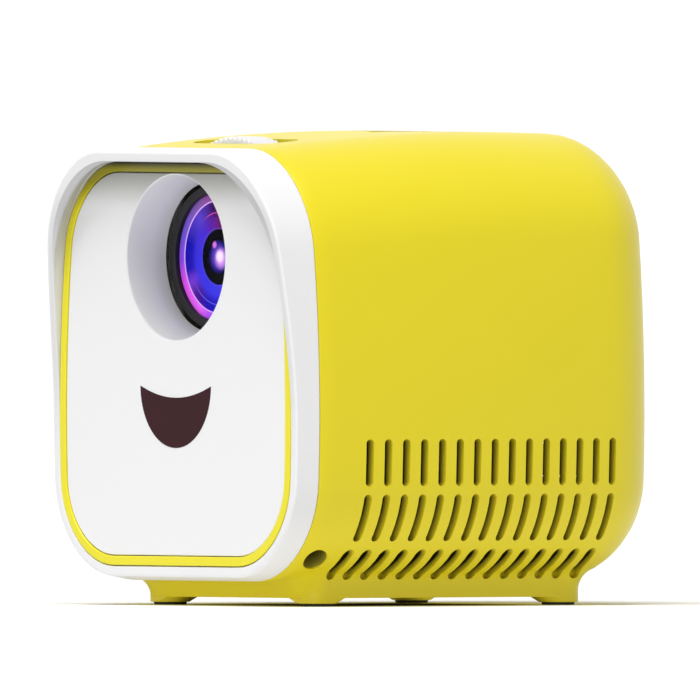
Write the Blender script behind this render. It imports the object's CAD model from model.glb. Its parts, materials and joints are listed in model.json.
import json
import math

import bpy
from mathutils import Matrix, Vector


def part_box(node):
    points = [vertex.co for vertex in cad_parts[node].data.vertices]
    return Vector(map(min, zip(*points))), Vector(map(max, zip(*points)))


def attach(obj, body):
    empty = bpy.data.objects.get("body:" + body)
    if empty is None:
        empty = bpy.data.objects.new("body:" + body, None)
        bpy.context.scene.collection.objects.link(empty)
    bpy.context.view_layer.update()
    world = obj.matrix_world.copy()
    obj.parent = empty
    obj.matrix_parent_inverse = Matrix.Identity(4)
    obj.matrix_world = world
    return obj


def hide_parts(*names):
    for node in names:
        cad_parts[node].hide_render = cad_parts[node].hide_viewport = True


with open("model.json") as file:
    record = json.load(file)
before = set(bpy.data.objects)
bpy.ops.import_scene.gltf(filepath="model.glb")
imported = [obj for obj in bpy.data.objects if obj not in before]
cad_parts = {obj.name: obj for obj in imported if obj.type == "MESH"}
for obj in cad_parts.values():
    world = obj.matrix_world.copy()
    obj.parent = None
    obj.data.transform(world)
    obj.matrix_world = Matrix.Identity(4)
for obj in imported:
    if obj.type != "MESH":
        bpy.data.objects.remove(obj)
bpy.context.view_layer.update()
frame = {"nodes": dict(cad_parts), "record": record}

mm = 0.001

# The camera stands where the photograph's did: low, in front and to the right
view = {
    "azimuth": 53.7,
    "elevation": 0.55,
    "across": -1.01 * mm,     # where the view axis passes the part, to its right and up
    "height": 46.3 * mm,
    "width": 127.27 * mm,
    "distance": 3.0,
    "farthest": 20,
}


def makeCamera():
    turn, rise = math.radians(view["azimuth"]), math.radians(view["elevation"])
    away = Vector((math.sin(turn) * math.cos(rise), -math.cos(turn) * math.cos(rise), math.sin(rise)))
    aim = Vector((math.cos(turn), math.sin(turn), 0)) * view["across"] + Vector((0, 0, view["height"]))
    bpy.ops.object.camera_add(location=aim + away * view["distance"])
    camera = bpy.context.object
    camera.rotation_euler = away.to_track_quat("Z", "Y").to_euler()
    camera.data.type = "ORTHO"
    camera.data.ortho_scale = view["width"]
    camera.data.clip_end = view["farthest"]
    bpy.context.scene.camera = camera


makeCamera()
print("camera is in place")


# Small tools for modelling
def clearSelection():
    if bpy.context.object and bpy.context.object.mode != "OBJECT":
        bpy.ops.object.mode_set(mode="OBJECT")
    bpy.ops.object.select_all(action="DESELECT")


def choose(piece):
    clearSelection()
    piece.select_set(True)
    bpy.context.view_layer.objects.active = piece


def moveMesh(piece, place):
    piece.data.transform(place)
    piece.data.update()


def addModifier(piece, kind, **settings):
    choose(piece)
    modifier = piece.modifiers.new(kind.lower(), kind)
    for key, value in settings.items():
        setattr(modifier, key, value)
    bpy.ops.object.modifier_apply(modifier=modifier.name)


def combine(piece, tool, operation="DIFFERENCE"):
    addModifier(piece, "BOOLEAN", object=tool, operation=operation, solver="MANIFOLD")
    bpy.data.objects.remove(tool)


def joinPieces(pieces):
    clearSelection()
    for piece in pieces:
        piece.select_set(True)
    bpy.context.view_layer.objects.active = pieces[0]
    bpy.ops.object.join()
    return bpy.context.object


def smooth(piece, degrees):
    choose(piece)
    bpy.ops.object.shade_smooth_by_angle(angle=math.radians(degrees))
    return piece


def evenShading(piece, degrees):     # flat faces stay flat beside rounded edges
    smooth(piece, degrees)
    addModifier(piece, "WEIGHTED_NORMAL", keep_sharp=True, weight=80)
    return piece


def drawSkin(name, rings):
    # a flat grid is added, and each of its rows is laid round the piece as one ring
    columns, rows = len(rings[0]), len(rings) - 1
    clearSelection()
    bpy.ops.mesh.primitive_grid_add(x_subdivisions=columns, y_subdivisions=rows, size=1, location=(0, 0, 0))
    piece = bpy.context.object
    piece.name = name
    for vertex in piece.data.vertices:
        column = round((vertex.co.x + 0.5) * columns) % columns
        row = round((vertex.co.y + 0.5) * rows)
        vertex.co = rings[row][column]
    choose(piece)
    bpy.ops.object.mode_set(mode="EDIT")
    bpy.ops.mesh.select_all(action="SELECT")
    bpy.ops.mesh.remove_doubles(threshold=1e-7)
    bpy.ops.mesh.dissolve_degenerate(threshold=1e-8)
    bpy.ops.mesh.normals_make_consistent(inside=False)
    bpy.ops.object.mode_set(mode="OBJECT")
    return piece


def closedBy(ring):          # all of a ring drawn into its middle
    return [sum(ring, Vector()) / len(ring)] * len(ring)


def drawSolid(name, rings):          # closed at both ends
    return drawSkin(name, [closedBy(rings[0]), *rings, closedBy(rings[-1])])


def drawLoop(name, rings):           # run round into itself
    return drawSkin(name, [*rings, rings[0]])


def at(x, y, z):             # a place given in millimetres
    return Vector((x, y, z)) * mm


def standing(x, y, z=0.0):   # a frame whose local Z is upright
    return Matrix.Translation(at(x, y, z))


def ringOf(radii, place, along):     # points round local Z, one for each radius
    turns = [math.tau * k / len(radii) for k in range(len(radii))]
    return [place @ at(radius * math.cos(turn), radius * math.sin(turn), along)
            for radius, turn in zip(radii, turns)]


def lathe(name, profile, place, steps=64):
    # a profile of (radius, place along local Z) in millimetres, turned all the way round
    turns = [k * math.tau / steps for k in range(steps)]
    rings = []
    for radius, along in profile:
        reach, level = radius * mm, along * mm
        rings.append([place @ Vector((reach * math.cos(turn), reach * math.sin(turn), level))
                      for turn in turns])
    return drawSkin(name, rings)


def rod(name, radius, start, stop, place, steps=40):
    return lathe(name, [(0, start), (radius, start), (radius, stop), (0, stop)], place, steps)


def roundCorner(middle, radius, start, stop, steps=5):
    # points of an arc in a profile, angles in degrees
    turns = [math.radians(start + (stop - start) * k / steps) for k in range(steps + 1)]
    return [(middle[0] + radius * math.cos(turn), middle[1] + radius * math.sin(turn)) for turn in turns]


def plainBlock(name, low, high):
    clearSelection()
    bpy.ops.mesh.primitive_cube_add(size=1, location=(low + high) / 2)
    piece = bpy.context.object
    piece.name = name
    piece.scale = high - low
    bpy.ops.object.transform_apply(location=True, rotation=True, scale=True)
    return piece


def roundedBlock(name, low, high, radius, steps=6):
    # a block whose upright edges are rounded
    piece = plainBlock(name, low, high)
    bpy.ops.object.mode_set(mode="EDIT")
    bpy.ops.mesh.select_mode(type="EDGE")
    bpy.ops.mesh.select_all(action="DESELECT")
    bpy.ops.object.mode_set(mode="OBJECT")
    for edge in piece.data.edges:
        start, stop = (piece.data.vertices[k].co for k in edge.vertices)
        edge.select = abs(start.z - stop.z) > abs(start.x - stop.x) + abs(start.y - stop.y)
    bpy.ops.object.mode_set(mode="EDIT")
    bpy.ops.mesh.bevel(offset=radius, segments=steps, affect="EDGES")
    bpy.ops.object.mode_set(mode="OBJECT")
    return piece


finishes = {}


def finishPiece(piece, body, finish, *replaced, slot=None):
    piece.data.materials.clear()
    piece.data.materials.append(finishes[finish].material)
    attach(piece, body)
    if replaced:
        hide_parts(*replaced)


# Shader sums are written as plain arithmetic
class Amount:
    def __init__(self, maker, socket):
        self.maker = maker
        self.socket = socket

    def using(self, operation, *others):
        return self.maker.node("ShaderNodeMath", {"operation": operation}, dict(enumerate((self, *others))))

    def __add__(self, other):
        return self.using("ADD", other)

    __radd__ = __add__

    def __mul__(self, other):
        return self.using("MULTIPLY", other)

    __rmul__ = __mul__

    def __sub__(self, other):
        return self.using("SUBTRACT", other)

    def __rsub__(self, other):
        return (self * -1).using("ADD", other)

    def __truediv__(self, other):
        return self.using("DIVIDE", other)

    def __pow__(self, other):
        return self.using("POWER", other)


class Finish:
    sockets = {
        "color": "Base Color", "roughness": "Roughness", "metallic": "Metallic", "normal": "Normal",
        "gloss": "Specular IOR Level", "coat": "Coat Weight", "coatRoughness": "Coat Roughness",
        "emission": "Emission Color", "glow": "Emission Strength",
    }

    def __init__(self, name, **surface):
        self.material = bpy.data.materials.new(name)
        self.material.use_nodes = True
        self.tree = self.material.node_tree
        self.shader = self.tree.nodes["Principled BSDF"]
        self.place = self.node("ShaderNodeTexCoord", {}, {}, "Object")
        self.set(**surface)

    def node(self, kind, settings, inputs, output=0):
        made = self.tree.nodes.new(kind)
        for key, value in settings.items():
            if key == "stops":
                self.setStops(made.color_ramp, value)
            else:
                setattr(made, key, value)
        for key, value in inputs.items():
            self.feed(made.inputs[key], value)
        return Amount(self, made.outputs[output])

    def feed(self, socket, value):
        if isinstance(value, Amount):
            self.tree.links.new(value.socket, socket)
        else:
            socket.default_value = value

    def setStops(self, ramp, stops):
        while len(ramp.elements) < len(stops):
            ramp.elements.new(0.5)
        for element, (place, color) in zip(ramp.elements, stops):
            element.position = place
            element.color = (*color, 1)

    def set(self, **surface):
        for key, value in surface.items():
            if isinstance(value, tuple):
                value = (*value, 1)
            self.feed(self.shader.inputs[self.sockets[key]], value)

    def axis(self, name):        # the place along X, Y or Z in millimetres
        return self.node("ShaderNodeSeparateXYZ", {}, {0: self.place}, name) * 1000

    def noise(self, size, detail=2.0, stretch=(1, 1, 1)):
        place = self.node("ShaderNodeMapping", {}, {"Vector": self.place, "Scale": stretch})
        return self.node("ShaderNodeTexNoise", {}, {"Vector": place, "Scale": 1 / size, "Detail": detail})

    def blend(self, share, first, second):
        mix = {"data_type": "RGBA", "clamp_factor": True}
        first, second = [(*c, 1) if isinstance(c, tuple) else c for c in (first, second)]
        return self.node("ShaderNodeMix", mix, {0: share, 6: first, 7: second}, 2)

    def ramp(self, share, stops):
        return self.node("ShaderNodeValToRGB", {"stops": stops}, {0: share})

    def step(self, value, low, high, most=1.0):      # 0 below low, most above high, smooth between
        settings = {"interpolation_type": "SMOOTHSTEP", "clamp": True}
        return self.node("ShaderNodeMapRange", settings, {0: value, 1: low, 2: high, 3: 0.0, 4: most})

    def bump(self, height, depth, strength):
        inputs = {"Height": height, "Distance": depth, "Strength": strength}
        self.set(normal=self.node("ShaderNodeBump", {}, inputs))


def grey(tone):
    return (tone, tone, tone)


# The body's form: swollen along its depth, its sides drawn in above and below, its back rounded over
body = {
    "half": 40.0, "top": 86.0, "bottom": 4.55, "wall": 2.0,
    "topCorner": 18.5, "bottomCorner": 18.3,
    "widest": 35.2, "sideCurve": 510.0,              # the widest height, from which the sides draw in
    "sideSwell": 1.85, "sideMiddle": -1.45, "topSwell": 2.7, "topMiddle": 11.95,
    "seam": -36.06, "gap": 0.08, "lip": -40.66,      # where the casing meets the bezel, and the hood's front
    "back": 45.4, "backRound": 15.0,
    "hoodStart": 40.0, "hoodSlope": 0.112, "hoodEase": 6.0,
}

# Lines that pieces share: the lens line, the focus wheel on it, the keypad and the keys beside it
layout = {"lensZ": 63.4, "wheelY": -24.71, "keypadY": 14.0, "keyX": 14.6}


def facing(z=layout["lensZ"]):       # a frame whose local Z points to the front
    return standing(0, 0, z) @ Matrix.Rotation(math.pi / 2, 4, "X")


def sectionAt(y):            # half width and top of the body
    side = (y - body["sideMiddle"]) / (body["seam"] - body["sideMiddle"])
    rise = (y - body["topMiddle"]) / (body["seam"] - body["topMiddle"])
    return body["half"] - body["sideSwell"] * side ** 2, body["top"] - body["topSwell"] * rise ** 2


def hoodLean(z):
    rise = z - body["hoodStart"]
    return body["hoodSlope"] * (rise + math.hypot(rise, body["hoodEase"])) / 2


def sideDraw(z):
    return (z - body["widest"]) ** 2 / body["sideCurve"]


def outline(section, inset, corner=14, side=8, flat=8, rounding=0):
    # a section under a skin, with the counts of spans in its corners, sides and flats
    half, top = section[0] - inset, section[1] - inset
    bottom = body["bottom"] + inset
    low, high = body["bottomCorner"] - inset, body["topCorner"] - inset + rounding
    corners = [(half - low, bottom + low, low), (half - high, top - high, high)]
    corners += [(high - half, top - high, high), (low - half, bottom + low, low)]
    points = []
    for turn, (x, z, radius) in enumerate(corners):
        for k in range(corner + 1):
            angle = (turn - 1 + k / corner) * math.pi / 2
            points.append((x + radius * math.cos(angle), z + radius * math.sin(angle)))
        x, z, radius = corners[(turn + 1) % 4]
        start = points[-1]
        stop = (x + radius * math.cos(turn * math.pi / 2), z + radius * math.sin(turn * math.pi / 2))
        spans = flat if turn % 2 else side
        for k in range(1, spans):
            points.append(tuple(a + (b - a) * k / spans for a, b in zip(start, stop)))
    return [(x * (1 - sideDraw(z) / section[0]), z) for x, z in points]


def ringAt(y, section, inset, lean=0, **counts):
    return [at(x, y - lean * hoodLean(z), z) for x, z in outline(section, inset, **counts)]


def pillow(name, skin, front, spans=22, turns=12, **counts):
    # front rows of (y, inset) are followed by the swollen length and the rounded back
    turnY = body["back"] - body["backRound"]
    radius = body["backRound"] - skin
    rows = list(front)
    start = rows[-1][0]
    for k in range(1, spans + 1):
        rows.append((start + (turnY - start) * k / spans, skin))
    for k in range(1, turns + 1):
        turn = math.pi / 2 * k / turns
        rows.append((turnY + radius * math.sin(turn), skin + radius * (1 - math.cos(turn))))
    return drawSolid(name, [ringAt(y, sectionAt(y), inset, **counts) for y, inset in rows])


# Plinth and feet
plinth = {
    "level": 1.5, "middleY": 1.95, "acrossX": 22.5, "acrossY": 27.2, "reach": 3.65,
    "fillet": 4.6, "sunk": 0.03, "inside": 2.0, "halvings": 24, "steps": 9, "corner": 10,
    "sideFillet": 1.8, "sideEnd": 1.2, "sideEase": 0.35,     # its end and ease are shares of acrossY
}


def undersideAt(x, y):       # the height of the underside over a point, found by halving
    section = sectionAt(y)
    turn = max(y - body["back"] + body["backRound"], 0)
    inset = body["backRound"] - math.sqrt(body["backRound"] ** 2 - turn ** 2)
    middle = body["bottom"] + body["bottomCorner"]
    low, high = body["bottom"] + inset, middle
    for k in range(plinth["halvings"]):
        z = (low + high) / 2
        reach = math.sqrt(max((body["bottomCorner"] - inset) ** 2 - (middle - z) ** 2, 0))
        across = (section[0] - body["bottomCorner"] + reach) * (1 - sideDraw(z) / section[0])
        low, high = (z, high) if across < abs(x) else (low, z)
    return low


def plinthPlaces(spans):     # (x, y, way that the wall faces) all the way round, from the corners' middles
    facets = plinth["corner"]
    corners = [(right * plinth["acrossX"], plinth["middleY"] + back * plinth["acrossY"])
               for right, back in ((1, 1), (-1, 1), (-1, -1), (1, -1))]
    places = []
    for turn, (x, y) in enumerate(corners):
        nextX, nextY = corners[(turn + 1) % 4]
        places += [(x, y, (turn + k / facets) * math.pi / 2) for k in range(facets + 1)]
        places += [(x + (nextX - x) * k / spans, y + (nextY - y) * k / spans, (turn + 1) * math.pi / 2)
                   for k in range(1, spans)]
    return places


def plinthPoint(place, spread):
    x, y, way = place
    reach = plinth["reach"] + spread
    return x + reach * math.cos(way), y + reach * math.sin(way)


def filletAt(place):         # a ball rolled along the plinth's wall until it touches the underside
    x, y, way = place
    level, touch, radius = math.inf, 0.0, plinth["fillet"]
    if abs(math.sin(way)) < 0.01:            # smaller under the vents
        along = abs(y - plinth["middleY"]) / plinth["acrossY"]
        share = min(max(plinth["sideEnd"] - along, 0) / plinth["sideEase"], 1)
        radius += (plinth["sideFillet"] - radius) * share ** 2 * (3 - 2 * share)
    for turn in map(math.radians, range(91)):
        x, y = plinthPoint(place, radius * (1 - math.cos(turn)))
        room = undersideAt(x, y) + plinth["sunk"] - radius * math.sin(turn)
        if room < level:
            level, touch = room, turn
    return radius, level, math.asin(max(plinth["level"] - level, 0) / radius), touch


def drawPlinth():
    places = [(place, *filletAt(place)) for place in plinthPlaces(spans=24)]
    # the wall goes straight down from where the ball touches it
    rings = [[at(*plinthPoint(place, radius * (1 - math.cos(start))), plinth["level"])
              for place, radius, level, start, touch in places]]
    for k in range(plinth["steps"] + 1):
        ring = []
        for place, radius, level, start, touch in places:
            turn = start + (touch - start) * k / plinth["steps"]
            x, y = plinthPoint(place, radius * (1 - math.cos(turn)))
            ring.append(at(x, y, max(level + radius * math.sin(turn), plinth["level"])))
        rings.append(ring)
    inside = body["bottom"] + plinth["inside"]
    rings.append([at(*plinthPoint(place, 0), inside) for place, *rest in places])
    return drawSolid("plinth", rings)


def plinthBlock(spread, low, high):
    return drawSolid("plinthBlock", [[at(*plinthPoint(place, spread), z) for place in plinthPlaces(spans=4)]
                                     for z in (low, high)])


def atFeet(make):
    return [make(right * plinth["acrossX"], plinth["middleY"] + back * plinth["acrossY"])
            for right in (-1, 1) for back in (-1, 1)]


foot = {
    "bottom": 0.5, "flare": 1.5, "top": 3.0, "recess": 3.3, "recessTop": 1.5,
    "edge": ((-0.2, 0.5), (0, 0.6), (0.825, 1.1)),       # how far past the plinth's wall, and height
}


def footBoss(x, y):
    reach, wide = plinth["reach"], plinth["reach"] + foot["flare"]
    profile = [(0, foot["bottom"]), *[(reach + past, z) for past, z in foot["edge"]]]
    profile += [(wide, plinth["level"]), (wide, foot["top"]), (0, foot["top"])]
    return lathe("boss", profile, standing(x, y))


# Screw wells low in the front corners
well = {
    "behindSeam": 4.6, "angle": 52.0, "radius": 2.4, "mouth": 0.2, "depth": 6.3, "wall": 1.2,
    "over": 1.2, "start": 1.0, "end": 7.9, "screwHole": 1.3, "screwStart": 5.0, "screwEnd": 9.0,
    "oval": ((1.2, 0, 0), (-0.2, 0.98, 0), (0, 0, 1)),       # stretches the bore a little, as the mouth looks
}


def wellPlace(side):         # local Z runs into the body along the well's own line
    y = body["seam"] + well["behindSeam"]
    section, angle = sectionAt(y), math.radians(well["angle"])
    z = body["bottom"] + body["bottomCorner"] * (1 - math.sin(angle))
    across = section[0] - body["bottomCorner"] * (1 - math.cos(angle))
    x = side * across * (1 - sideDraw(z) / section[0])
    inward = Vector((-side * math.cos(angle), 0, math.sin(angle)))
    right = Vector((0, 1, 0)).cross(inward)
    return standing(x, y, z) @ Matrix((right, (0, 1, 0), inward)).transposed().to_4x4()


# How much light comes in: less in the vents, wells and focus window, under the hood and in the funnel
# The first rows are (millimetres deep, share of light)
# The other rows in brackets say where a soft step starts and ends, and some of them its size too
shade = {
    "vents": ((0.08, 1), (0.4, 0.88), (1.0, 0.74), (1.52, 0.56), (1.84, 0.3), (2.0, 0.1), (2.2, 0.03)),
    "wells": ((0.08, 1), (0.48, 0.5), (2.4, 0.34), (6.4, 0.12)),
    "window": ((0.08, 1), (0.8, 0.95), (2.0, 0.6)),
    "wellsEndY": (-28.6, -28.4), "windowZ": (60, 61), "backY": (31, 31.4), "lowestRowZ": (10.4, 11.4),
    "cover": 0.6, "coverSkin": 0.4, "coverZ": (1.7, 2.4), "coverTopZ": (5.0, 5.6), "coverEndY": (28.7, 28.9),
    "trimUpperZ": (70.5, 78.5, 0.64), "trimTopZ": (79.0, 80.6, 0.32),
    "lipDepth": (0.8, 1.8, 0.12), "lipLowZ": (24, 44), "lipHighZ": (70, 78),
    "hoodDepth": (2.4, 2.58, 0.42), "hoodZ": (52, 84),
    "faceZ": (71.8, 79.5, 0.6), "funnel": 0.76, "funnelZ": (51, 76, 0.2), "throatY": (-36, -33, 0.1),
    "funnelRadius": (15.1, 15.3),
}


def shellDepth(finish, y=None):      # millimetres under the outer skin, or given y, under its section there
    x, here, z = map(finish.axis, "XYZ")
    half, top = sectionAt(here if y is None else y)
    across = x.using("ABSOLUTE") + sideDraw(z)

    def cornerDepth(radius, over):
        beside, above = (across - half + radius).using("MAXIMUM", 0), over.using("MAXIMUM", 0)
        return radius - (beside * beside + above * above) ** 0.5

    low = cornerDepth(body["bottomCorner"], body["bottom"] + body["bottomCorner"] - z)
    high = cornerDepth(body["topCorner"], z - top + body["topCorner"])
    return low.using("MINIMUM", high)


def lightByDepth(finish, depth, name, deepest):
    return finish.ramp(depth / deepest, [(deep / deepest, grey(share)) for deep, share in shade[name]])


def lightInShell(finish):
    x, y, z = map(finish.axis, "XYZ")
    # the plinth's wall covers the lower ends of the lowest vents
    cover = plinth["acrossX"] + plinth["reach"] - shade["coverSkin"] - x.using("ABSOLUTE")
    cover = cover * finish.step(z, *shade["coverZ"]) * (1 - finish.step(z, *shade["coverTopZ"]))
    cover = cover * shade["cover"]
    along = (y - plinth["middleY"]).using("ABSOLUTE")
    depth = shellDepth(finish).using("MAXIMUM", cover * (1 - finish.step(along, *shade["coverEndY"])))
    depth = depth * (2 - finish.step(z, *shade["lowestRowZ"]))
    vents, window = [lightByDepth(finish, depth, name, 4) for name in ("vents", "window")]
    share = finish.blend(finish.step(y, *shade["wellsEndY"]), lightByDepth(finish, depth, "wells", 8), vents)
    share = finish.blend(finish.step(z, *shade["windowZ"]), share, window)
    return finish.blend(finish.step(y, *shade["backY"]), share, grey(1.0))


def lightOnTrim(finish):
    z = finish.axis("Z")
    return 1 - finish.step(z, *shade["trimUpperZ"]) - finish.step(z, *shade["trimTopZ"])


def lightOnBezel(finish):
    z, depth = finish.axis("Z"), shellDepth(finish, body["seam"])
    lip = finish.step(depth, *shade["lipDepth"]) * finish.step(z, *shade["lipLowZ"])
    inside = finish.step(depth, *shade["hoodDepth"]) * finish.step(z, *shade["hoodZ"])
    return 1 - lip * (1 - finish.step(z, *shade["lipHighZ"])) - inside


def lightOnPanel(finish):
    x, y, z = map(finish.axis, "XYZ")
    up = z - layout["lensZ"]
    face = 1 - finish.step(z, *shade["faceZ"])
    funnel = shade["funnel"] + finish.step(z, *shade["funnelZ"]) - finish.step(y, *shade["throatY"])
    return finish.blend(finish.step((x * x + up * up) ** 0.5, *shade["funnelRadius"]), funnel, face)


# Mouldings: a slow change of tone, a fine orange peel and a gloss that varies a little
moulding = {"patch": 22 * mm, "grain": 0.35 * mm, "peel": 0.6, "fineChange": 0.06, "slowChange": 0.08}
whites = (0.86, 0.86, 0.865), (0.85, 0.85, 0.86)
mouldings = {
    # material, two tones, roughness, relief in millimetres, gloss, then the light on it and its tone in shade
    "white": ("whiteMoulding", *whites, 0.36, 0.004, 0.4),
    "key": ("keyCaps", (0.84, 0.84, 0.85), (0.82, 0.82, 0.83), 0.45, 0.004, 0.5),
    "smile": ("printInk", (0.042, 0.0117, 0.0148), (0.038, 0.0105, 0.0135), 0.6, 0.002, 0.1),
    "black": ("blackMoulding", (0.016, 0.015, 0.017), (0.021, 0.020, 0.023), 0.42, 0.004, 0.25),
    "dark": ("darkFrame", (0.030, 0.030, 0.033), (0.038, 0.038, 0.041), 0.6, 0.01, 0.5),
    "rubber": ("padRubber", grey(0.012), grey(0.018), 0.8, 0.02, 0.5),
    "paper": ("conePaper", (0.025, 0.025, 0.026), grey(0.04), 0.9, 0.03, 0.5),
    "phosphor": ("lampPhosphor", (0.85, 0.62, 0.12), (0.8, 0.55, 0.1), 0.6, 0.004, 0.5),
    "yellow": ("yellowMoulding", (0.82, 0.69, 0.014), (0.80, 0.665, 0.011), 0.34, 0.004, 0.35,
               lightInShell, (0.72, 0.62, 0.1)),
    "bezel": ("bezelMoulding", *whites, 0.36, 0.004, 0.4, lightOnBezel),
    "trim": ("trimYellow", (0.87, 0.78, 0.02), (0.85, 0.76, 0.018), 0.32, 0.004, 0.35, lightOnTrim),
    "panel": ("panelMoulding", (0.88, 0.88, 0.885), (0.87, 0.87, 0.88), 0.42, 0.004, 0.4,
              lightOnPanel, (0.88, 0.9, 0.78)),
}


def moulded(name, color, second, roughness, relief, gloss, lightOn=None, shaded=None):
    finish = Finish(name, gloss=gloss)
    slow, fine = finish.noise(moulding["patch"], 3), finish.noise(moulding["grain"])
    tone = finish.blend(slow, color, second)
    if lightOn:
        share = lightOn(finish)
        tone = finish.blend(share, grey(0.0), finish.blend(share, shaded or color, tone))
    uneven = (fine - 0.5) * moulding["fineChange"] + (slow - 0.5) * moulding["slowChange"]
    finish.set(color=tone, roughness=uneven + roughness)
    finish.bump(fine, relief * mm, moulding["peel"])
    return finish


finishes.update((key, moulded(*values)) for key, values in mouldings.items())
print("mouldings are mixed")


# Side vents: three rows of upright slots, the two lower rows of which run round the lower corner
vent = {
    "count": 15, "pitch": 3.94, "middleY": 2.25, "top": 30.5, "gap": 1.45, "inner": 25.0, "outer": 41.5,
    "lengths": (8.6, 8.6, 5.6), "widths": (1.65, 1.65, 2.2), "facets": 10,
}


def ventRow(side, middle, length, width):
    # one slot with round ends, repeated along the side
    radius = width / 2
    turns = [math.pi * k / vent["facets"] for k in range(vent["facets"] + 1)]
    shape = [(radius * math.cos(turn), length / 2 - radius + radius * math.sin(turn)) for turn in turns]
    shape += [(-y, -z) for y, z in shape]
    first = vent["middleY"] - (vent["count"] - 1) / 2 * vent["pitch"]
    slot = drawSolid("ventSlot", [[at(side * x, first + y, middle + z) for y, z in shape]
                                  for x in (vent["inner"], vent["outer"])])
    addModifier(slot, "ARRAY", count=vent["count"], use_relative_offset=False, use_constant_offset=True,
                constant_offset_displace=at(0, vent["pitch"], 0))
    return slot


def ventCutter():
    slots, top = [], vent["top"]
    for length, width in zip(vent["lengths"], vent["widths"]):
        slots += [ventRow(side, top - length / 2, length, width) for side in (-1, 1)]
        top -= length + vent["gap"]
    return joinPieces(slots)


# Openings in the back, in the top and in the floor
port = {"names": ("power_port", "sound_port", "screen_port", "data_port", "card_slot"), "room": 0.35,
        "from": 40.5, "to": 46.5, "receiverZ": 52, "receiver": 2.9}
opening = {"low": 81, "high": 88, "wheelHalf": 13.0, "wheelDepth": 9.0, "wheelCorner": 4.4,
           "keypad": 9.3, "key": 3.35, "coverRoom": 0.3, "coverCorner": 3.3}


def cutBack(shell):
    room = at(port["room"], 0, port["room"])
    for name in port["names"]:
        low, high = map(Vector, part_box(name))
        low, high = low - room, high + room
        low.y, high.y = port["from"] * mm, port["to"] * mm
        combine(shell, plainBlock("portRoom", low, high))
    place = facing(port["receiverZ"])
    combine(shell, rod("receiverRoom", port["receiver"], -port["to"], -port["from"], place))


def cutTop(shell):
    low, high, half, deep = opening["low"], opening["high"], opening["wheelHalf"], opening["wheelDepth"] / 2
    corners = at(-half, layout["wheelY"] - deep, low), at(half, layout["wheelY"] + deep, high)
    combine(shell, roundedBlock("windowRoom", *corners, opening["wheelCorner"] * mm, 12))
    combine(shell, rod("keypadRoom", opening["keypad"], low, high, standing(0, layout["keypadY"]), 72))
    for x in (-layout["keyX"], layout["keyX"]):
        combine(shell, rod("keyRoom", opening["key"], low, high, standing(x, layout["keypadY"])))


def cutFloor(shell, floorLevel):
    for recess in atFeet(lambda x, y: rod("recess", foot["recess"], -1, foot["recessTop"], standing(x, y))):
        combine(shell, recess)
    low, high = map(Vector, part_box("bottom_cover"))
    room = opening["coverRoom"] * mm
    low, high = low - Vector((room, room, 0)), high + Vector((room, room, 0))
    low.z, high.z = -mm, floorLevel * mm + room / 2
    combine(shell, roundedBlock("coverRoom", low, high, opening["coverCorner"] * mm))


def cutWell(shell, side):
    radius, mouth, place = well["radius"], well["mouth"], wellPlace(side)
    combine(shell, rod("tube", radius + well["wall"], well["start"], well["end"], place), "UNION")
    bore = [(0, -well["over"]), (radius + mouth, -well["over"])]
    bore += roundCorner((radius + mouth, mouth), mouth, 270, 180, 3)
    bore += [(radius, well["depth"]), (0, well["depth"])]
    combine(shell, lathe("bore", bore, place @ Matrix(well["oval"]).to_4x4(), 40))
    combine(shell, rod("screwHole", well["screwHole"], well["screwStart"], well["screwEnd"], place))


casing = {
    "edge": ((0, 0.22), (0.06, 0.07), (0.22, 0.0)),      # behind the seam and inset, down the edge's rounding
    "bossLow": 0.1, "bossHigh": 3.4, "hollowTop": 4.0, "overrun": 1.0,
}


def makeCasing():
    seam, wall = body["seam"] + body["gap"], body["wall"]
    shell = pillow("casingShell", 0, [(seam + behind, inset) for behind, inset in casing["edge"]])
    combine(shell, drawPlinth(), "UNION")
    for boss in atFeet(footBoss):            # kept inside the plinth's outline
        combine(boss, plinthBlock(0, casing["bossLow"], casing["bossHigh"]), "INTERSECT")
        combine(shell, boss, "UNION")
    floorLevel = plinth["level"] + wall
    front = [(seam - casing["overrun"], wall)]
    hollow = pillow("hollow", wall, front, spans=6, turns=6, corner=8, side=4, flat=2)
    combine(hollow, plinthBlock(-wall, floorLevel, body["bottom"] + casing["hollowTop"]), "UNION")
    combine(shell, hollow)
    combine(shell, ventCutter())
    for side in (-1, 1):
        cutWell(shell, side)
    cutFloor(shell, floorLevel)
    cutTop(shell)
    cutBack(shell)
    smooth(shell, 30)
    finishPiece(shell, "root", "yellow", "casing", slot="yellow_plastic")


makeCasing()
print("casing is moulded")


# The frame round the front, whose upper part leans forward as a hood
bezel = {
    "edge": ((0.22, 0.0, 0.0), (0.06, 0.05, 0.01), (0.02, 0.22, 0.05)),      # inset, way to the front, lean
    "draw": 0.7, "spans": 8, "lipRound": 0.5, "mouth": 2.6, "mouthRound": 0.3, "mouthCorner": 5,
    "ledge": 6.2, "ledgeFront": 2.2, "ledgeBack": 0.8, "spigotIn": 4.2, "spigotOut": 2.9, "spigotDepth": 2.2,
    "innerLean": (0.55, 0.15), "funnelRoom": (16.4, 42, 35), "wellRoom": 3.9,
}


def sweepRound(name, profile):
    # profile points are (inset, y, share of the hood's lean, extra rounding of the upper corners)
    section = sectionAt(body["seam"])
    return drawLoop(name, [ringAt(y, section, inset, lean, rounding=sum(rounding))
                           for inset, y, lean, *rounding in profile])


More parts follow.
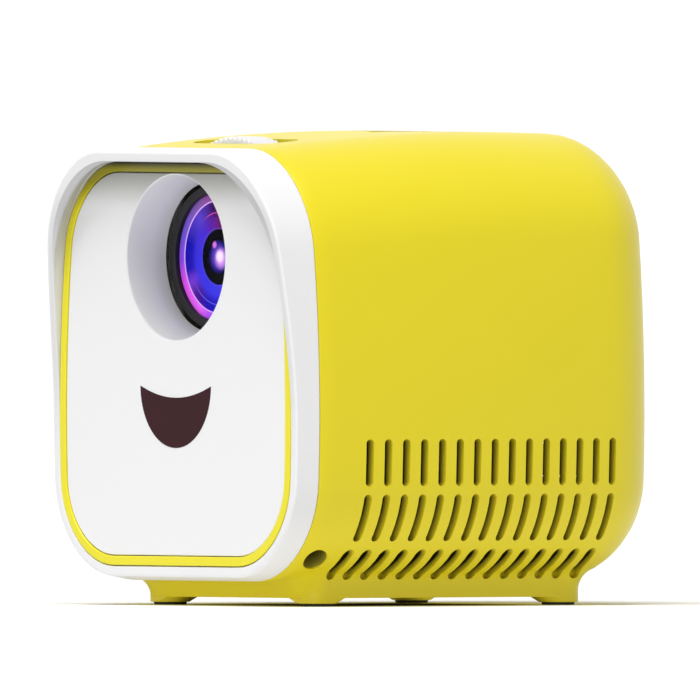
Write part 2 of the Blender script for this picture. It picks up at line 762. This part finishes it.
def makeBezel():
    seam, lip, lipRound, draw = body["seam"], body["lip"], bezel["lipRound"], bezel["draw"]
    mouth, mouthRound, corner = bezel["mouth"], bezel["mouthRound"], bezel["mouthCorner"]
    inner, front, back = lip + mouthRound, seam - bezel["ledgeFront"], seam - bezel["ledgeBack"]
    profile = [(inset, seam - before, lean) for inset, before, lean in bezel["edge"]]
    for share in (k / bezel["spans"] for k in range(1, bezel["spans"])):
        profile.append((draw * share, seam + (lip + lipRound - seam) * share, share))
    profile += [(*point, 1) for point in roundCorner((draw + lipRound, lip + lipRound), lipRound, 180, 270)]
    inside = roundCorner((mouth - mouthRound, inner), mouthRound, 270, 360, 4)
    profile += [(*point, 1, corner) for point in inside]
    upper, lower = bezel["innerLean"]
    profile += [(mouth, inner, upper, corner / 2), (mouth, inner, lower), (mouth, front, 0)]
    profile += [(bezel["ledge"], front, 0), (bezel["ledge"], back, 0), (bezel["spigotIn"], back, 0)]
    profile += [(inset, seam + bezel["spigotDepth"], 0) for inset in (bezel["spigotIn"], bezel["spigotOut"])]
    frontFrame = sweepRound("bezelFrame", [*profile, (bezel["spigotOut"], seam, 0)])
    combine(frontFrame, rod("funnelRoom", *bezel["funnelRoom"], facing(), 64))
    for side in (-1, 1):
        combine(frontFrame, rod("wellRoom", bezel["wellRoom"], 0, well["end"], wellPlace(side)))
    evenShading(frontFrame, 30)
    finishPiece(frontFrame, "root", "bezel", "front_bezel", slot="white_plastic")


makeBezel()


# The yellow ring round the panel
trim = {"front": -40.76, "back": -38.56, "outer": 2.75, "inner": 4.45, "round": 0.22}


def makeTrimRing():
    front, back, outer, inner, radius = trim.values()
    profile = roundCorner((outer + radius, front + radius), radius, 180, 270, 3)
    profile += roundCorner((inner - radius, front + radius), radius, 270, 360, 3)
    ring = sweepRound("trimLoop", [(inset, y, 0) for inset, y in (*profile, (inner, back), (outer, back))])
    evenShading(ring, 30)
    finishPiece(ring, "root", "trim", "trim_ring", slot="trim_plastic")


makeTrimRing()


# The white panel with its funnel, whose places on the lens line count from the origin to the front
panel = {
    "inset": 4.6, "front": -40.56, "back": -38.56, "edgeRound": 0.25,
    "neck": ((0, 39.5), (16.1, 39.5), (16.1, 38.3), (14.7, 32.76), (0, 32.76)),
    "mouth": 15.0, "mouthRound": 0.3, "outer": 15.5, "throat": 13.6, "throatEnd": 32.76,
    "over": 42, "under": 31,
}


def makePanel():
    section, radius, face = sectionAt(body["seam"]), panel["edgeRound"], -panel["front"]
    rows = roundCorner((panel["inset"] + radius, panel["front"] + radius), radius, 270, 180, 4)
    rows.append((panel["inset"], panel["back"]))
    plate = drawSolid("panelPlate", [ringAt(y, section, inset) for inset, y in rows])
    combine(plate, lathe("funnelNeck", panel["neck"], facing(), 96), "UNION")
    radius = panel["mouthRound"]
    bore = [(0, panel["over"]), (panel["outer"], panel["over"]), (panel["outer"], face)]
    bore += roundCorner((panel["mouth"] + radius, face - radius), radius, 90, 180, 4)
    bore += [(panel["throat"], panel["throatEnd"]), (panel["throat"], panel["under"]), (0, panel["under"])]
    combine(plate, lathe("funnelBore", bore, facing(), 96))
    evenShading(plate, 30)
    finishPiece(plate, "root", "panel", "front_panel", slot="white_plastic")


makePanel()
print("front frame, ring and panel are in")


# The smile printed on the panel
smile = {"half": 10.8, "tips": 40.0, "dip": 2.15, "drop": 11.3, "front": -40.6, "back": -40.54, "spans": 48}


def makeSmile():
    rings, front, back = [], smile["front"], smile["back"]
    for k in range(smile["spans"] + 1):
        x = -smile["half"] * math.cos(math.pi * k / smile["spans"])
        share = math.sqrt(max(1 - (x / smile["half"]) ** 2, 0))
        low, high = smile["tips"] - smile["drop"] * share, smile["tips"] - smile["dip"] * share ** 2
        rings.append([at(x, front, low), at(x, front, high), at(x, back, high), at(x, back, low)])
    finishPiece(drawSkin("smilePrint", rings), "root", "smile")


makeSmile()
print("smile is printed")


# The coated lens, whose tints run round it and outwards
coating = {
    # (share of the way round from the right, by below, left and above, then the tint as a screen shows it)
    "rim": ((0.18, 110, 70, 235), (0.27, 150, 80, 245), (0.33, 238, 110, 248), (0.43, 232, 90, 235),
            (0.49, 140, 80, 225), (0.55, 112, 88, 205), (0.66, 128, 92, 160), (0.76, 150, 62, 132)),
    "outer": ((0.18, 30, 24, 200), (0.31, 38, 22, 176), (0.37, 76, 26, 140), (0.42, 120, 62, 205),
              (0.46, 36, 24, 170), (0.54, 22, 20, 165), (0.64, 88, 66, 190), (0.72, 60, 12, 84),
              (0.76, 14, 2, 18)),
    "inner": ((0.2, 66, 62, 228), (0.5, 58, 52, 214), (0.62, 74, 48, 200), (0.7, 96, 34, 150),
              (0.78, 112, 18, 74), (0.9, 40, 4, 30)),
    # the same outwards over the small opening in the middle, to pupilRadius
    "pupil": ((0.0, 120, 84, 196), (0.34, 86, 60, 168), (0.48, 44, 34, 140), (0.56, 26, 20, 92),
              (0.64, 4, 3, 10), (1.0, 2, 2, 4)),
    # (to the right, up, core, edge, tint) of the lights that it mirrors
    "spots": ((0.7, -0.3, 0.7, 2.4, (222, 156, 240)), (0.4, 0.1, 0.5, 1.5, (255, 238, 255)),
              (-1.35, 2.2, 0.35, 0.85, (214, 120, 222))),
    # soft steps outwards and round
    "outward": (6.4, 8.9), "rimStart": (10.2, 10.26), "pupilEnd": (5.02, 5.12),
    "above": (0.64, 0.7), "below": (0.36, 0.42), "pupilRadius": 5.0,
    # (radius, half width, share, tint) of thin rings
    "aboveRing": (8.1, 0.16, 1.0, (214, 84, 150)), "belowRing": (8.7, 0.14, 0.8, (112, 118, 240)),
    "rimRing": (10.2, 0.16, 1.0, (240, 190, 246)), "pupilRing": (5.2, 0.2, 0.5, (96, 88, 214)),
}


def seen(*tint):             # a colour as a screen shows it
    parts = [part / 255 for part in tint]
    return tuple(part / 12.92 if part <= 0.04045 else ((part + 0.055) / 1.055) ** 2.4 for part in parts)


def coatedFinish():
    finish = Finish("lensCoating", roughness=0.3, gloss=0.0, coat=0.03, coatRoughness=0.05, glow=0.4)
    x, z = map(finish.axis, "XZ")
    up = z - layout["lensZ"]
    radius = (x * x + up * up) ** 0.5
    turn = up.using("ARCTAN2", x * -1) / math.tau + 0.5

    def tints(share, name):
        return finish.ramp(share, [(place, seen(*tint)) for place, *tint in coating[name]])

    def addRing(color, name, where=1.0):
        middle, width, share, tint = coating[name]
        ring = finish.step(radius, middle - width, middle) * (1 - finish.step(radius, middle, middle + width))
        return finish.blend(ring * (where * share), color, seen(*tint))

    color = finish.blend(finish.step(radius, *coating["outward"]), tints(turn, "inner"), tints(turn, "outer"))
    color = addRing(color, "aboveRing", finish.step(turn, *coating["above"]))
    color = addRing(color, "belowRing", 1 - finish.step(turn, *coating["below"]))
    color = finish.blend(finish.step(radius, *coating["rimStart"]), color, tints(turn, "rim"))
    color = addRing(color, "rimRing")
    color = addRing(color, "pupilRing")
    pupil = tints(radius / coating["pupilRadius"], "pupil")
    for beside, above, core, edge, tint in coating["spots"]:
        across, over = x - beside, up - above
        away = finish.step((across * across + over * over) ** 0.5, core, edge)
        pupil = finish.blend(1 - away, pupil, seen(*tint))
    color = finish.blend(finish.step(radius, *coating["pupilEnd"]), pupil, color)
    finish.set(color=color, emission=color)
    return finish


def clearFinish(name, tint, roughness, base, edge):
    # a clear pane: see-through when looked at squarely, reflecting when looked at along it
    finish = Finish(name)
    turned = finish.node("ShaderNodeLayerWeight", {}, {"Blend": 0.25}, 1)
    through = finish.node("ShaderNodeBsdfTransparent", {}, {"Color": (*tint, 1)})
    gloss = finish.node("ShaderNodeBsdfGlossy", {}, {"Color": (*grey(1.0), 1), "Roughness": roughness})
    mixed = finish.node("ShaderNodeMixShader", {}, {0: turned * (edge - base) + base, 1: through, 2: gloss})
    finish.feed(finish.tree.nodes["Material Output"].inputs["Surface"], mixed)
    return finish


finishes["coated"] = coatedFinish()
finishes["clear"] = clearFinish("clearGlass", (0.86, 0.9, 0.94), roughness=0.03, base=0.05, edge=0.6)
finishes["front"] = clearFinish("frontGlass", (0.97, 0.96, 1.0), roughness=0.02, base=0.0005, edge=0.012)
finishes["lcd"] = clearFinish("lcdGlass", (0.12, 0.16, 0.2), roughness=0.05, base=0.08, edge=0.6)

# The lens, all on the sliding barrel; places on the lens line count from the origin to the front
retainer = {
    "inner": 11.4, "outer": 13.05, "back": 31.66, "step": 32.0, "front": 32.46, "innerRound": 0.35,
    "outerRound": 0.2,
}
pane = {
    "radius": 10.2, "front": 32.26, "rise": 0.9, "steps": 12, "thick": 0.14, "flange": 11.8, "back": 31.2,
    "bevel": 0.1,
}
# (radius, place) of the coated lens, from the pit in its middle outwards and round to its back
coated = ((0, 30.95), (3.1, 30.8), (3.15, 30.7), (5.05, 30.75), (5.15, 30.85), (8, 30.8), (10.2, 31.0),
          (10.3, 31.08), (11.75, 31.12), (11.75, 29.8), (0, 29.8))


def makeRetainer():
    inner, outer, back, step, front, innerRound, outerRound = retainer.values()
    profile = [(inner, back), (inner, step)]
    profile += roundCorner((inner + innerRound, front - innerRound), innerRound, 180, 90, 4)
    profile += roundCorner((outer - outerRound, front - outerRound), outerRound, 90, 0, 3)
    ring = lathe("retainer", [*profile, (outer, back), (inner, back)], facing(), 128)
    evenShading(ring, 30)
    finishPiece(ring, "lens_group", "black", "retaining_ring", slot="black_plastic")


def makeLens():
    radius, front, rise, steps, thick, flange, back, bevel = pane.values()
    dome = [(radius * k / steps, front - rise * (k / steps) ** 2) for k in range(steps + 1)]
    profile = [*dome, (flange - bevel, front - rise), (flange, back + bevel), (flange, back), (radius, back)]
    profile += [(reach, along - thick) for reach, along in reversed(dome[:-1])]
    glass = smooth(lathe("frontPane", profile, facing(), 128), 40)
    finishPiece(glass, "lens_group", "front", "front_lens", slot="coated_glass")
    lens = smooth(lathe("coatedLens", coated, facing(), 128), 40)
    finishPiece(lens, "lens_group", "coated", slot="coated_glass")


makeRetainer()
makeLens()
print("lens is in")


# The focus wheel with rounded teeth
wheel = {
    "radius": 21.9, "depth": 0.45, "teeth": 96, "steps": 8, "sharpness": 0.55, "half": 3.05, "bore": 14.75,
    "groove": ((16.2, 0), (16.4, 0.7), (19.4, 0.7), (19.6, 0)),      # radius and depth under the front face
    "edge": ((0.45, 0), (0.12, 0.12), (0, 0.45)),        # how the rim rounds over: inset, behind the face
}


def makeWheel():
    waves = [math.cos(math.tau * k / wheel["steps"]) for k in range(wheel["steps"])] * wheel["teeth"]
    notches = [0.5 - 0.5 * math.copysign(abs(wave) ** wheel["sharpness"], wave) for wave in waves]
    front, back = wheel["half"] - layout["wheelY"], -wheel["half"] - layout["wheelY"]

    def plain(radius, along):
        return ringOf([radius] * len(notches), facing(), along)

    def toothed(inset, along):
        radius = wheel["radius"] - inset
        return ringOf([radius - wheel["depth"] * notch for notch in notches], facing(), along)

    rings = [plain(wheel["bore"], back), plain(wheel["bore"], front)]
    rings += [plain(radius, front - deep) for radius, deep in wheel["groove"]]
    rings += [toothed(inset, front - behind) for inset, behind in wheel["edge"]]
    rings += [toothed(inset, back + behind) for inset, behind in reversed(wheel["edge"])]
    piece = evenShading(drawLoop("focusWheel", rings), 40)
    finishPiece(piece, "focus_ring", "white", "focus_ring", slot="white_plastic")


makeWheel()
print("focus wheel is in")


# Rubber pads, screws and the tripod thread
def middleOf(name):
    low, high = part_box(name)
    return tuple((a + b) / 2 / mm for a, b in zip(low, high))


pad = {"radius": 3.0, "high": 1.2, "round": 0.3, "dish": 1.5, "dishEnd": 1.75, "dishDepth": 0.2}


def makePads():
    radius, high, edge, dish, dishEnd, deep = pad.values()
    profile = [(0, deep), (dish, deep), (dishEnd, 0), (radius - edge, 0)]
    profile += roundCorner((radius - edge, edge), edge, 300, 360, 3)
    for name in ("rubber_pad_%s_%s" % (end, side) for end in ("front", "back") for side in ("left", "right")):
        x, y, z = middleOf(name)
        piece = smooth(lathe("pad", [*profile, (radius, high), (0, high)], standing(x, y), 48), 40)
        finishPiece(piece, "root", "rubber", name, slot="rubber")


# Heads by (radius, place along the screw), then the shank's radius and end, and the driver's slot
coverScrew = {
    "head": ((0, 1.6), *roundCorner((1.85, 1.85), 0.25, 270, 360, 3), (2.1, 2.45), (1, 2.45)),
    "shank": 1.0, "end": 7.05, "slot": 1.6, "slotSize": (8, 0.7, 0.9),
}
sideScrew = {
    "head": ((0, 4.5), (0.8, 4.53), (1.4, 4.68), (1.8, 4.95), (2.0, 5.35), (2.0, 6.0), (1, 6.0)),
    "shank": 1.0, "end": 12.2, "slot": 4.5, "slotSize": (8, 0.7, 1.6),
}


def makeScrew(name, label, values, place):
    profile = [*values["head"], (values["shank"], values["end"]), (0, values["end"])]
    screw = lathe(name, profile, place, 48)
    half = at(*values["slotSize"]) / 2
    tool = plainBlock("slot", -half, half)
    moveMesh(tool, place @ Matrix.Translation(at(0, 0, values["slot"])))
    combine(screw, tool)
    finishPiece(evenShading(screw, 30), "root", "steel", label, slot="steel")


def makeScrews():
    for label in ("cover_screw_%d" % k for k in range(1, 5)):
        x, y, z = middleOf(label)
        makeScrew("coverScrew", label, coverScrew, standing(x, y))
    for side, label in ((-1, "side_screw_left"), (1, "side_screw_right")):
        makeScrew("sideScrew", label, sideScrew, wellPlace(side))


insert = {
    "outer": 4.2, "bevel": 0.15, "low": 1.5, "high": 8.5, "lead": 3.3,
    "bore": 2.7, "crest": 0.32, "pitch": 1.27, "threadLow": 1.9, "levels": 40, "steps": 48,
}


def makeInsert():
    outer, bevel, steps = insert["outer"], insert["bevel"], insert["steps"]
    low, high = insert["low"], insert["high"]
    place = standing(0, plinth["middleY"])

    def threaded(z):
        shares = [((z - low) / insert["pitch"] - k / steps) % 1 for k in range(steps)]
        return ringOf([insert["bore"] + insert["crest"] * abs(2 * share - 1) for share in shares], place, z)

    plain = ((outer, high), (outer, low + bevel), (outer - bevel, low), (insert["lead"], low))
    rings = [ringOf([radius] * steps, place, z) for radius, z in plain]
    rise = (high - insert["threadLow"]) / insert["levels"]
    rings += [threaded(insert["threadLow"] + rise * k) for k in range(insert["levels"] + 1)]
    piece = smooth(drawLoop("threadInsert", rings), 40)
    finishPiece(piece, "root", "brass", "tripod_insert", slot="brass")


metals = {
    # material, tone, roughness, how the fine lines are drawn out
    "steel": ("zincSteel", (0.56, 0.57, 0.58), 0.34, (1, 1, 1)),
    "brass": ("turnedBrass", (0.66, 0.47, 0.16), 0.3, (0.2, 0.2, 4)),
    "aluminium": ("extrudedAluminium", (0.64, 0.65, 0.66), 0.38, (1, 1, 0.04)),
}
metalGrain = {
    "lines": 0.25 * mm, "patch": 8 * mm, "relief": 0.002 * mm, "strength": 0.5,
    "darker": 0.88, "change": 0.14,
}


def metal(name, color, roughness, stretch):
    finish = Finish(name, metallic=1.0)
    lines, slow = finish.noise(metalGrain["lines"], 2, stretch), finish.noise(metalGrain["patch"])
    tone = finish.blend(slow, color, tuple(part * metalGrain["darker"] for part in color))
    finish.set(color=tone, roughness=(lines - 0.5) * metalGrain["change"] + roughness)
    finish.bump(lines, metalGrain["relief"], metalGrain["strength"])
    return finish


solderMask = {
    "bare": (0.012, 0.13, 0.042), "run": (0.02, 0.22, 0.07), "pitch": 0.6, "cell": 5 * mm,
    "shifted": (0.48, 0.5), "edge": (0.34, 0.38), "filled": (0.42, 0.44), "relief": 0.02 * mm,
}


def boardFinish():
    # solder mask with runs of copper under it, which shift from cell to cell
    finish = Finish("circuitBoard", roughness=0.42, coat=0.3, coatRoughness=0.2)
    pitch, cells = solderMask["pitch"], finish.noise(solderMask["cell"], 1)
    shifted = finish.axis("X") + finish.step(cells, *solderMask["shifted"], pitch)
    run = finish.step(shifted.using("PINGPONG", pitch), *solderMask["edge"])
    run = run * finish.step(cells, *solderMask["filled"])
    finish.set(color=finish.blend(run, solderMask["bare"], solderMask["run"]))
    finish.bump(run, solderMask["relief"], 0.5)
    return finish


finishes.update((key, metal(*values)) for key, values in metals.items())
finishes["board"] = boardFinish()
makePads()
makeScrews()
makeInsert()
print("pads, screws and thread are in")


# What stands on the main board, seen through the vents
onBoard = {
    # x, y, width, depth and height of the chips, x and y of the cans, then a can's (radius, height) profile
    "chips": ((-4, -8, 9, 9, 1.3), (-9, 8, 7, 10, 1.2), (3, 10, 8, 8, 3.8), (9.5, 24, 6, 6, 1.2)),
    "cans": ((8, -3.4), (11, 5), (-11, 20), (-12.5, -3)),
    "can": ((0, 0), (2.9, 0), (3.0, 0.2), (3.0, 0.7), (2.75, 0.95), (3.0, 1.2),
            *roundCorner((2.6, 7.7), 0.4, 0, 90, 4), (2.1, 8.1), (2.0, 7.95), (0, 7.95)),
    "bareTop": (7.6, 7.7), "sleeve": (0.012, 0.014, 0.04), "metal": (0.62, 0.62, 0.63),
    "gap": 0.02, "chipCorner": 0.3,
}


def canFinish(level):
    finish = Finish("boardCan", roughness=0.3)
    bare = finish.step(finish.axis("Z") - level, *onBoard["bareTop"])
    finish.set(color=finish.blend(bare, onBoard["sleeve"], onBoard["metal"]), metallic=bare)
    return finish


def makeBoardParts():
    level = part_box("main_board")[1][2] / mm + onBoard["gap"]
    chips = []
    for x, y, width, depth, high in onBoard["chips"]:
        low, top = at(x - width / 2, y - depth / 2, level), at(x + width / 2, y + depth / 2, level + high)
        chips.append(roundedBlock("chip", low, top, onBoard["chipCorner"] * mm, 2))
    finishPiece(smooth(joinPieces(chips), 30), "root", "black")
    finishes["can"] = canFinish(level)
    cans = [lathe("can", onBoard["can"], standing(x, y, level), 40) for x, y in onBoard["cans"]]
    finishPiece(smooth(joinPieces(cans), 40), "root", "can")


makeBoardParts()
print("board is filled")


# The keys: round ones with a short stem, and four arrows that make a ring
keys = {
    "top": 85.85, "low": 82.2, "flange": 83.1, "stem": 1.2, "stemLow": 81.2, "stemTop": 82.6,
    "round": 0.35, "edgeMiddle": 0.1, "dome": 0.05, "domeStart": 0.6,
    "ok": 3.2, "side": 3.0, "sideFlange": 0.7,
    "arrowInner": 4.0, "arrowOuter": 8.95, "arrowFlange": 10.0, "arrowGap": 0.35, "arrowSteps": 16,
    "arrowStem": 6.65,
    "markDepth": 0.12, "ringMark": ((1.1, 85.73), (1.5, 85.73), (1.5, 87), (1.1, 87), (1.1, 85.73)),
    "arrowMark": ((6.0, -1.0), (7.4, 0), (6.0, 1.0)),
    "powerMark": (-0.2, 0.6, 0.2, 2.0),          # a bar from one corner to the other, from the key's middle
    "menuMark": ((-1.2, -1.1, 1.2, -0.7), (-1.2, -0.2, 1.2, 0.2), (-1.2, 0.7, 1.2, 1.1)),
}


def keyMark(points, place):          # a prism that engraves a mark
    levels = keys["top"] - keys["markDepth"], keys["top"] + 1
    return drawSolid("mark", [[place @ at(x, y, z) for x, y in points] for z in levels])


def markBar(piece, bar, place):
    left, low, right, high = bar
    combine(piece, keyMark([(left, low), (right, low), (right, high), (left, high)], place))


def roundKey(name, place, radius, reach):
    top, low, edge, stem = keys["top"], keys["low"], keys["round"], keys["stem"]
    profile = [(0, keys["stemLow"]), (stem, keys["stemLow"]), (stem, low), (radius + reach, low)]
    profile += [(radius + reach, keys["flange"]), (radius, keys["flange"])] if reach else []
    profile += roundCorner((radius - edge, top - edge - keys["dome"]), edge, 0, 80, 4)
    profile += [(radius * keys["domeStart"], top), (0, top)]
    return lathe(name, profile, place, 56)


def arrowShape(reach, inset):
    # a quarter of the ring between two slanting gaps, drawn in by an inset
    inner, gap, slant = keys["arrowInner"] + inset, keys["arrowGap"] / math.sqrt(2), inset * math.sqrt(2)
    reach, half = reach - inset, inner - gap - slant
    spread = math.asin((gap + slant) / math.sqrt(2) / reach) - math.pi / 4
    turns = [spread * (1 - 2 * k / keys["arrowSteps"]) for k in range(keys["arrowSteps"] + 1)]
    arc = [(reach * math.cos(turn), reach * math.sin(turn)) for turn in turns]
    return [(inner, half), (inner, 0), (inner, -half), *arc]


def arrowCap(name, turn):
    top, low, flange = keys["top"], keys["low"], keys["flange"]
    wide, outer, edge, middle = keys["arrowFlange"], keys["arrowOuter"], keys["round"], keys["edgeMiddle"]
    place = standing(0, layout["keypadY"]) @ Matrix.Rotation(turn, 4, "Z")
    rows = [(wide, 0, low), (wide, 0, flange), (outer, 0, flange)]
    rows += [(outer, 0, top - edge), (outer, middle, top - middle), (outer, edge, top)]
    piece = drawSolid(name, [[place @ at(x, y, z) for x, y in arrowShape(reach, inset)]
                             for reach, inset, z in rows])
    under = place @ standing(keys["arrowStem"], 0)
    combine(piece, rod("stem", keys["stem"], keys["stemLow"], keys["stemTop"], under, 32), "UNION")
    combine(piece, keyMark(keys["arrowMark"], place))
    return piece


def finishKey(piece, name):
    finishPiece(evenShading(piece, 30), name + "_button", "key", name + "_button", slot="white_plastic")


def makeKeys():
    for turn, name in enumerate(("right", "up", "left", "down")):
        finishKey(arrowCap(name + "Cap", turn * math.pi / 2), name)
    middle, left, right = [standing(side * layout["keyX"], layout["keypadY"]) for side in (0, -1, 1)]
    okay = roundKey("okCap", middle, keys["ok"], 0)
    combine(okay, lathe("mark", keys["ringMark"], middle, 40))
    finishKey(okay, "ok")
    power = roundKey("powerCap", left, keys["side"], keys["sideFlange"])
    combine(power, lathe("mark", keys["ringMark"], left, 40))
    markBar(power, keys["powerMark"], left)
    finishKey(power, "power")
    menu = roundKey("menuCap", right, keys["side"], keys["sideFlange"])
    for bar in keys["menuMark"]:
        markBar(menu, bar, right)
    finishKey(menu, "menu")


makeKeys()
print("keys are in")


# Every other piece of the model wears the finish of its own material
slotFinish = {
    "yellow_plastic": "yellow", "trim_plastic": "trim", "white_plastic": "white", "black_plastic": "black",
    "dark_plastic": "dark", "rubber": "rubber", "steel": "steel", "brass": "brass", "aluminium": "aluminium",
    "coated_glass": "coated", "clear_glass": "clear", "lcd_glass": "lcd", "board": "board", "paper": "paper",
    "phosphor": "phosphor",
}
for part in frame["record"]["subparts"]:
    node = frame["nodes"][part["node"]]
    node.data.materials.clear()
    node.data.materials.append(finishes[slotFinish[part["material_slot"]]].material)
print("the rest is finished")


# Floor, sky and lamps
studio = {
    "size": 40,
    "floor": (0.5, 0.95), "sky": (0.3, 1.0),         # tones as they light the part, and as they are looked at
    "glow": 0.43, "glowX": (20, 27), "glowY": (24, 31),
    "lamps": {
        # the way to the lamp, its strength and how wide it spreads in degrees
        "keyLight": ((0.35, -0.6, 2.0), 2.65, 35),
        "fillLight": ((0.65, -1.0, 0.1), 0.68, 40),
    },
}


class Sky(Finish):
    def __init__(self, world):
        world.use_nodes = True
        self.tree = world.node_tree


def seenFirst(finish):       # what the camera sees, by itself or in glass and gloss
    names = ("Is Camera Ray", "Is Glossy Ray", "Is Transmission Ray")
    camera, glossy, through = [finish.node("ShaderNodeLightPath", {}, {}, name) for name in names]
    return camera + glossy + through


def makeFloor():
    # floor and sky look lighter than they light the part, so that the backdrop stays white
    clearSelection()
    bpy.ops.mesh.primitive_plane_add(size=studio["size"], location=(0, 0, 0))
    floor = bpy.context.object
    floor.name = "studioFloor"
    paper = Finish("floorPaper", roughness=0.9, gloss=0.0, glow=1.0)
    looked = seenFirst(paper)
    # its own glow is only cast beside the part, not under it
    beside = [paper.step(paper.axis(name).using("ABSOLUTE"), *studio["glow" + name]) for name in "XY"]
    glow = beside[0].using("MAXIMUM", beside[1]) * (1 - looked)
    paper.set(color=paper.blend(looked, *map(grey, studio["floor"])),
              emission=paper.blend(glow, grey(0.0), grey(studio["glow"])))
    floor.data.materials.append(paper.material)


def makeLight():
    world = bpy.data.worlds.new("studio")
    bpy.context.scene.world = world
    sky = Sky(world)
    color = sky.blend(seenFirst(sky), *map(grey, studio["sky"]))
    sky.feed(sky.tree.nodes["Background"].inputs["Color"], color)
    for name, (source, strength, spread) in studio["lamps"].items():
        bpy.ops.object.light_add(type="SUN", location=source)
        lamp = bpy.context.object
        lamp.name = name
        lamp.data.energy = strength
        lamp.data.angle = math.radians(spread)
        lamp.rotation_euler = Vector(source).to_track_quat("Z", "Y").to_euler()
    bpy.context.scene.view_settings.view_transform = "Standard"


makeFloor()
makeLight()
print("studio is lit")
